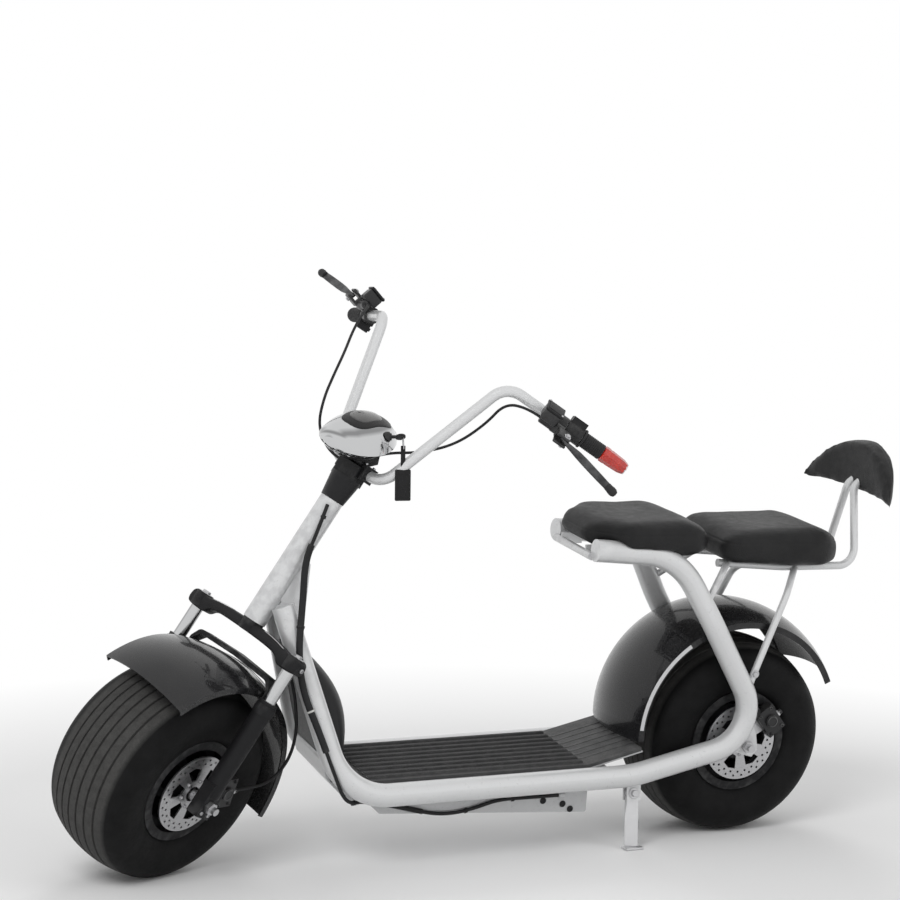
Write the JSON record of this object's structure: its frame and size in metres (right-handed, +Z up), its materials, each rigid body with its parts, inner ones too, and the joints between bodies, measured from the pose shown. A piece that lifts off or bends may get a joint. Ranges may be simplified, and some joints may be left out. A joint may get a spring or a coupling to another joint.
{
  "type": "electric chopper scooter",
  "caption": "Electric chopper scooter with fat tyres, a low step-through deck, high bars, a cushioned seat for rider and passenger and a curved backrest.",
  "frame": {"origin": "middle of the bounding box on the ground, with the scooter leaning on its side stand", "axes": "+X forward, +Y to its left, where the stand is, +Z up"},
  "size_m": [1.9214, 0.787, 1.2794],
  "materials": {
    "battery_case": "closed case",
    "black_casting": "black paint on castings",
    "black_gloss": "gloss black paint",
    "black_metal": "black coated steel",
    "black_plastic": "moulded black",
    "box_silver": "silver paint",
    "cable_rubber": "black sheath",
    "chrome": "polished chrome",
    "frame_paint": "satin silver paint",
    "grip_rubber": "moulded grip",
    "lens": "clear lens",
    "lever_metal": "cast lever",
    "mat_rubber": "ribbed mat",
    "red_lens": "clear red lens",
    "seat_leather": "black leatherette",
    "steel": "ground steel",
    "tyre": "ribbed black rubber"
  },
  "bodies": {
    "frame": {"backrest_pad": "seat_leather", "battery": "battery_case", "belly_box": "box_silver", "cross_tubes": "frame_paint", "deck_mat": "mat_rubber", "deck_plate": "box_silver", "dropouts": "frame_paint", "head_tube": "frame_paint", "leg_cover": "black_plastic", "main_tube_left": "frame_paint", "main_tube_right": "frame_paint", "nose_box": "box_silver", "passenger_frame": "frame_paint", "passenger_seat": "seat_leather", "rear_axle": "steel", "rear_caliper": "black_metal", "rear_fender": "black_gloss", "rider_seat": "seat_leather", "seat_bracket": "frame_paint", "seat_struts": "frame_paint", "stand_bracket": "frame_paint", "harness": "cable_rubber"},
    "fork": {"bar_end_lamp": "red_lens", "brake_levers": "lever_metal", "brake_masters": "black_plastic", "fender_brace": "black_casting", "fork_crown": "black_casting", "fork_legs": "black_casting", "front_axle": "steel", "front_caliper": "black_metal", "front_fender": "black_gloss", "grips": "grip_rubber", "handlebar": "frame_paint", "headlight_shell": "chrome", "stanchions": "chrome", "stem_clamp": "black_plastic", "switch_boxes": "black_plastic", "headlight_lens": "lens", "display_panel": "black_plastic", "key_set": "black_plastic", "front_hose": "cable_rubber", "bar_cables": "cable_rubber"},
    "front_wheel": {"front_rim": "black_casting", "front_rotor": "steel", "front_tyre": "tyre"},
    "rear_wheel": {"rear_rim": "black_casting", "rear_rotor": "steel", "rear_tyre": "tyre"},
    "side_stand": {"side_stand": "black_metal"}
  },
  "joints": [
    {"name": "steer", "type": "hinge", "parent": "frame", "child": "fork", "pos_m": [0.53769, 0.02435, 0.53723], "axis": [-0.5307, 0.1034, 0.8413], "range_deg": [-62, 0]},
    {"name": "front_wheel_spin", "type": "hinge", "parent": "fork", "child": "front_wheel", "pos_m": [0.73191, -0.01347, 0.22933], "axis": [-0.4364, 0.8175, -0.3757], "continuous": true},
    {"name": "rear_wheel_spin", "type": "hinge", "parent": "frame", "child": "rear_wheel", "pos_m": [-0.59809, -0.01347, 0.22816], "axis": [0.0001, 0.9925, -0.1219], "continuous": true},
    {"name": "side_stand_fold", "type": "hinge", "parent": "frame", "child": "side_stand", "pos_m": [-0.31799, 0.10534, 0.12113], "axis": [-0.0177, 0.9901, 0.1392], "range_deg": [0, 80]}
  ]
}
